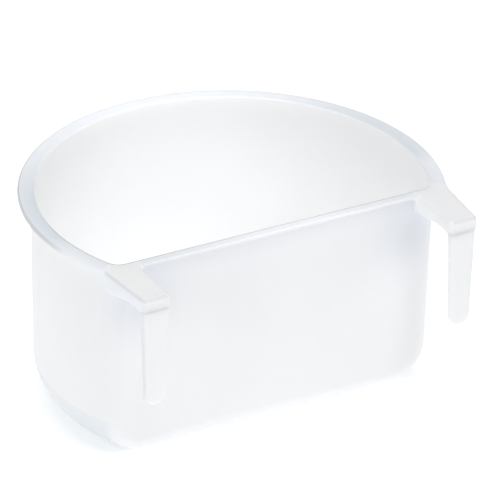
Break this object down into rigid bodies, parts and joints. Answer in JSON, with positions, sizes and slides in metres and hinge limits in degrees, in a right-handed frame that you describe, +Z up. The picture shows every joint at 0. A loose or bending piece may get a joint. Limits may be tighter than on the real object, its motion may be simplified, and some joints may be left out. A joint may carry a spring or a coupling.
{
  "type": "hair color bowl",
  "caption": "D-shaped hanging hair color mixing bowl with a flat front wall, an outward rim flange and forward hooks whose prongs flex to clip over a tray edge.",
  "frame": {"origin": "below the middle of the overall box, on the plane that the bowl stands on", "axes": "+Z up, the flat wall and the hooks face -Y, the curved wall's back is at +Y, and the bowl is mirror symmetric about X = 0"},
  "size_m": [0.1414, 0.1244, 0.074],
  "materials": {
    "polypropylene": "natural white polypropylene, slightly translucent, satin moulded surface"
  },
  "bodies": {
    "bowl": {"floor_panel": "polypropylene", "base_foot": "polypropylene", "curved_wall": "polypropylene", "flat_wall": "polypropylene", "rim_flange": "polypropylene", "front_ledge": "polypropylene", "hook_arm_left": "polypropylene", "hook_arm_right": "polypropylene"},
    "prong_left": {"hook_prong_left": "polypropylene"},
    "prong_right": {"hook_prong_right": "polypropylene"}
  },
  "joints": [
    {"name": "prong_left_flex", "type": "hinge", "parent": "bowl", "child": "prong_left", "pos_m": [-0.0567, -0.0618, 0.0687], "axis": [-1, 0, 0], "range_deg": [0, 8], "stiffness_Nm_per_rad": 1.1},
    {"name": "prong_right_flex", "type": "hinge", "parent": "bowl", "child": "prong_right", "pos_m": [0.0567, -0.0618, 0.0687], "axis": [-1, 0, 0], "range_deg": [0, 8], "stiffness_Nm_per_rad": 1.1}
  ]
}
